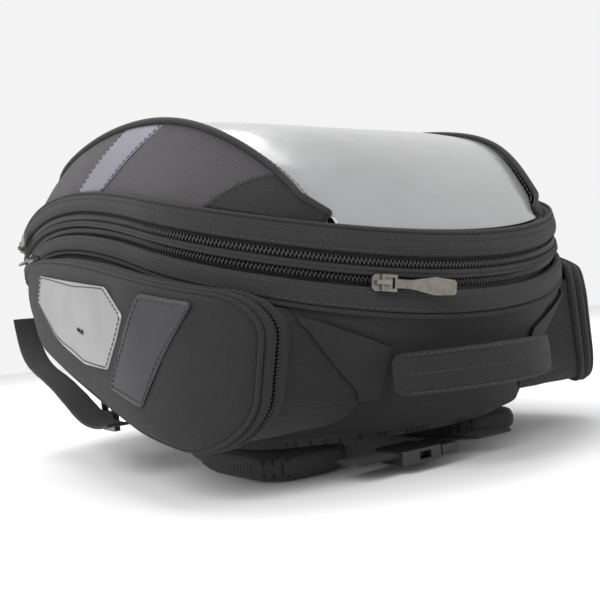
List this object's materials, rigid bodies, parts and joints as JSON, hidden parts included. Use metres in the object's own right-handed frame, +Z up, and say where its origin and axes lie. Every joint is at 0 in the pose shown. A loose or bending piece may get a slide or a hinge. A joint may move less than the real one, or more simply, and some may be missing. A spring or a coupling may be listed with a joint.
{
  "type": "tail bag",
  "caption": "Expandable motorcycle tail bag with arched zipped lid, clear map window, zipped side pockets, padded grab handle and stowed shoulder straps.",
  "frame": {"origin": "middle of the footprint, on the surface the bag rests on", "axes": "+Z up, -Y towards the grab handle, X across the bag"},
  "size_m": [0.3018, 0.4568, 0.2219],
  "materials": {
    "black_fabric": "ripstop weave",
    "dark_grey_fabric": "coarse weave",
    "binding_fabric": "grosgrain",
    "reflective_grey": "reflective",
    "lavender_reflective": "reflective",
    "label_rubber": "matt",
    "clear_vinyl": "soft clear vinyl",
    "gunmetal": "antique",
    "black_plastic": "moulded",
    "mesh_pad": "spacer mesh",
    "webbing": "webbing",
    "zip_tape": "zip tape",
    "lining_fabric": "lining",
    "stiff_board": "polyethylene board"
  },
  "bodies": {
    "bag_body": {"body_shell": "black_fabric", "body_lining": "lining_fabric", "base_board": "stiff_board", "base_pad": "mesh_pad", "top_binding": "binding_fabric", "body_piping": "binding_fabric", "expansion_zip_lower": "zip_tape", "gusset_bellows": "lining_fabric", "pocket_wall_left": "black_fabric", "pocket_wall_right": "black_fabric", "pocket_zip_inner_left": "zip_tape", "pocket_zip_inner_right": "zip_tape", "handle_anchors": "black_fabric", "ladder_lock_tabs": "webbing", "reflective_tabs": "lavender_reflective", "strap_anchor_tabs": "webbing", "adjuster_webbing_left": "webbing", "adjuster_webbing_right": "webbing", "ladder_locks": "black_plastic", "buckle_socket": "black_plastic", "stow_webbing": "webbing"},
    "expander": {"expander_band": "binding_fabric", "expansion_zip_upper": "zip_tape", "main_zip_lower": "zip_tape", "lid_hinge_strip": "binding_fabric"},
    "lid": {"lid_rim_band": "binding_fabric", "rim_piping": "binding_fabric", "main_zip_upper": "zip_tape", "lid_deck": "lining_fabric", "map_window": "clear_vinyl", "lid_side_panel_left": "dark_grey_fabric", "lid_side_panel_right": "dark_grey_fabric", "lid_stripes": "lavender_reflective", "lid_corner_patches": "black_fabric", "window_pipings": "binding_fabric"},
    "expansion_slider": {"expansion_slider": "gunmetal"},
    "expansion_pull": {"expansion_pull": "gunmetal"},
    "main_left_slider": {"main_left_slider": "gunmetal"},
    "main_left_pull": {"main_left_pull": "gunmetal"},
    "pocket_left_slider": {"pocket_left_slider": "gunmetal"},
    "pocket_left_pull": {"pocket_left_pull": "gunmetal"},
    "pocket_flap_left": {"pocket_flap_left": "black_fabric", "pocket_zip_outer_left": "zip_tape", "pocket_reflector_left": "reflective_grey", "pocket_label_left": "label_rubber"},
    "shoulder_strap_left": {"shoulder_pad_left": "mesh_pad"},
    "main_right_slider": {"main_right_slider": "gunmetal"},
    "main_right_pull": {"main_right_pull": "gunmetal"},
    "pocket_right_slider": {"pocket_right_slider": "gunmetal"},
    "pocket_right_pull": {"pocket_right_pull": "gunmetal"},
    "pocket_flap_right": {"pocket_flap_right": "black_fabric", "pocket_zip_outer_right": "zip_tape", "pocket_reflector_right": "reflective_grey", "pocket_label_right": "label_rubber"},
    "shoulder_strap_right": {"shoulder_pad_right": "mesh_pad"},
    "grab_handle": {"grab_handle": "black_fabric"},
    "buckle_plug": {"buckle_plug": "black_plastic"}
  },
  "joints": [
    {"name": "expansion_lift", "type": "slide", "parent": "bag_body", "child": "expander", "axis": [0, 0, 1], "range_m": [0, 0.06], "deforming": ["gusset_bellows"]},
    {"name": "lid_open", "type": "hinge", "parent": "expander", "child": "lid", "pos_m": [0, 0.2301, 0.15194], "axis": [1, 0, 0], "range_deg": [-100, 0]},
    {"name": "expansion_slider_run", "type": "hinge", "parent": "bag_body", "child": "expansion_slider", "pos_m": [0, -0.09321, 0.14627], "axis": [0, -0.4414, 0.8973], "range_deg": [0, 46]},
    {"name": "expansion_pull_swing", "type": "hinge", "parent": "expansion_slider", "child": "expansion_pull", "pos_m": [-0.05498, -0.20996, 0.09013], "axis": [-0.157, 0.0593, -0.9858], "range_deg": [0, 160]},
    {"name": "main_left_slider_run", "type": "hinge", "parent": "expander", "child": "main_left_slider", "pos_m": [0.12332, 0.07517, -0.40927], "axis": [0.9102, -0.0509, 0.4111], "range_deg": [0, 21.3]},
    {"name": "main_left_pull_swing", "type": "hinge", "parent": "main_left_slider", "child": "main_left_pull", "pos_m": [-0.13442, 0.14185, 0.16349], "axis": [-0.0068, -0.0746, -0.9972], "range_deg": [0, 160]},
    {"name": "pocket_left_slider_run", "type": "hinge", "parent": "bag_body", "child": "pocket_left_slider", "pos_m": [0.24038, 0.08916, -0.53318], "axis": [0.868, -0.0616, 0.4927], "range_deg": [0, 12]},
    {"name": "pocket_left_pull_swing", "type": "hinge", "parent": "pocket_left_slider", "child": "pocket_left_pull", "pos_m": [-0.14566, 0.0496, 0.14327], "axis": [0.9578, 0, 0.2873], "range_deg": [0, 160]},
    {"name": "pocket_left_open", "type": "hinge", "parent": "bag_body", "child": "pocket_flap_left", "pos_m": [-0.14119, 0.06705, 0.11384], "axis": [-0.0272, -0.6658, -0.7457], "range_deg": [0, 50]},
    {"name": "shoulder_left_swing", "type": "hinge", "parent": "bag_body", "child": "shoulder_strap_left", "pos_m": [-0.062, -0.1484, 0.013], "axis": [-1, 0, 0], "range_deg": [0, 70]},
    {"name": "main_right_slider_run", "type": "hinge", "parent": "expander", "child": "main_right_slider", "pos_m": [-0.12332, 0.07517, -0.40927], "axis": [0.9102, 0.0509, -0.4111], "range_deg": [0, 21.3]},
    {"name": "main_right_pull_swing", "type": "hinge", "parent": "main_right_slider", "child": "main_right_pull", "pos_m": [0.13442, 0.14185, 0.16349], "axis": [-0.0068, 0.0746, 0.9972], "range_deg": [0, 160]},
    {"name": "pocket_right_slider_run", "type": "hinge", "parent": "bag_body", "child": "pocket_right_slider", "pos_m": [-0.24038, 0.08916, -0.53318], "axis": [0.868, 0.0616, -0.4927], "range_deg": [0, 12]},
    {"name": "pocket_right_pull_swing", "type": "hinge", "parent": "pocket_right_slider", "child": "pocket_right_pull", "pos_m": [0.14566, 0.0496, 0.14327], "axis": [0.9578, 0, -0.2873], "range_deg": [0, 160]},
    {"name": "pocket_right_open", "type": "hinge", "parent": "bag_body", "child": "pocket_flap_right", "pos_m": [0.14119, 0.06705, 0.11384], "axis": [-0.0272, 0.6658, 0.7457], "range_deg": [0, 50]},
    {"name": "shoulder_right_swing", "type": "hinge", "parent": "bag_body", "child": "shoulder_strap_right", "pos_m": [0.062, -0.1484, 0.013], "axis": [-1, 0, 0], "range_deg": [0, 70]},
    {"name": "handle_tilt", "type": "hinge", "parent": "bag_body", "child": "grab_handle", "pos_m": [0, -0.2034, 0.0485], "axis": [1, 0, 0], "range_deg": [-18, 18], "stiffness_Nm_per_rad": 0.4},
    {"name": "buckle_release", "type": "slide", "parent": "bag_body", "child": "buckle_plug", "axis": [1, 0, 0], "range_m": [0, 0.012]}
  ]
}
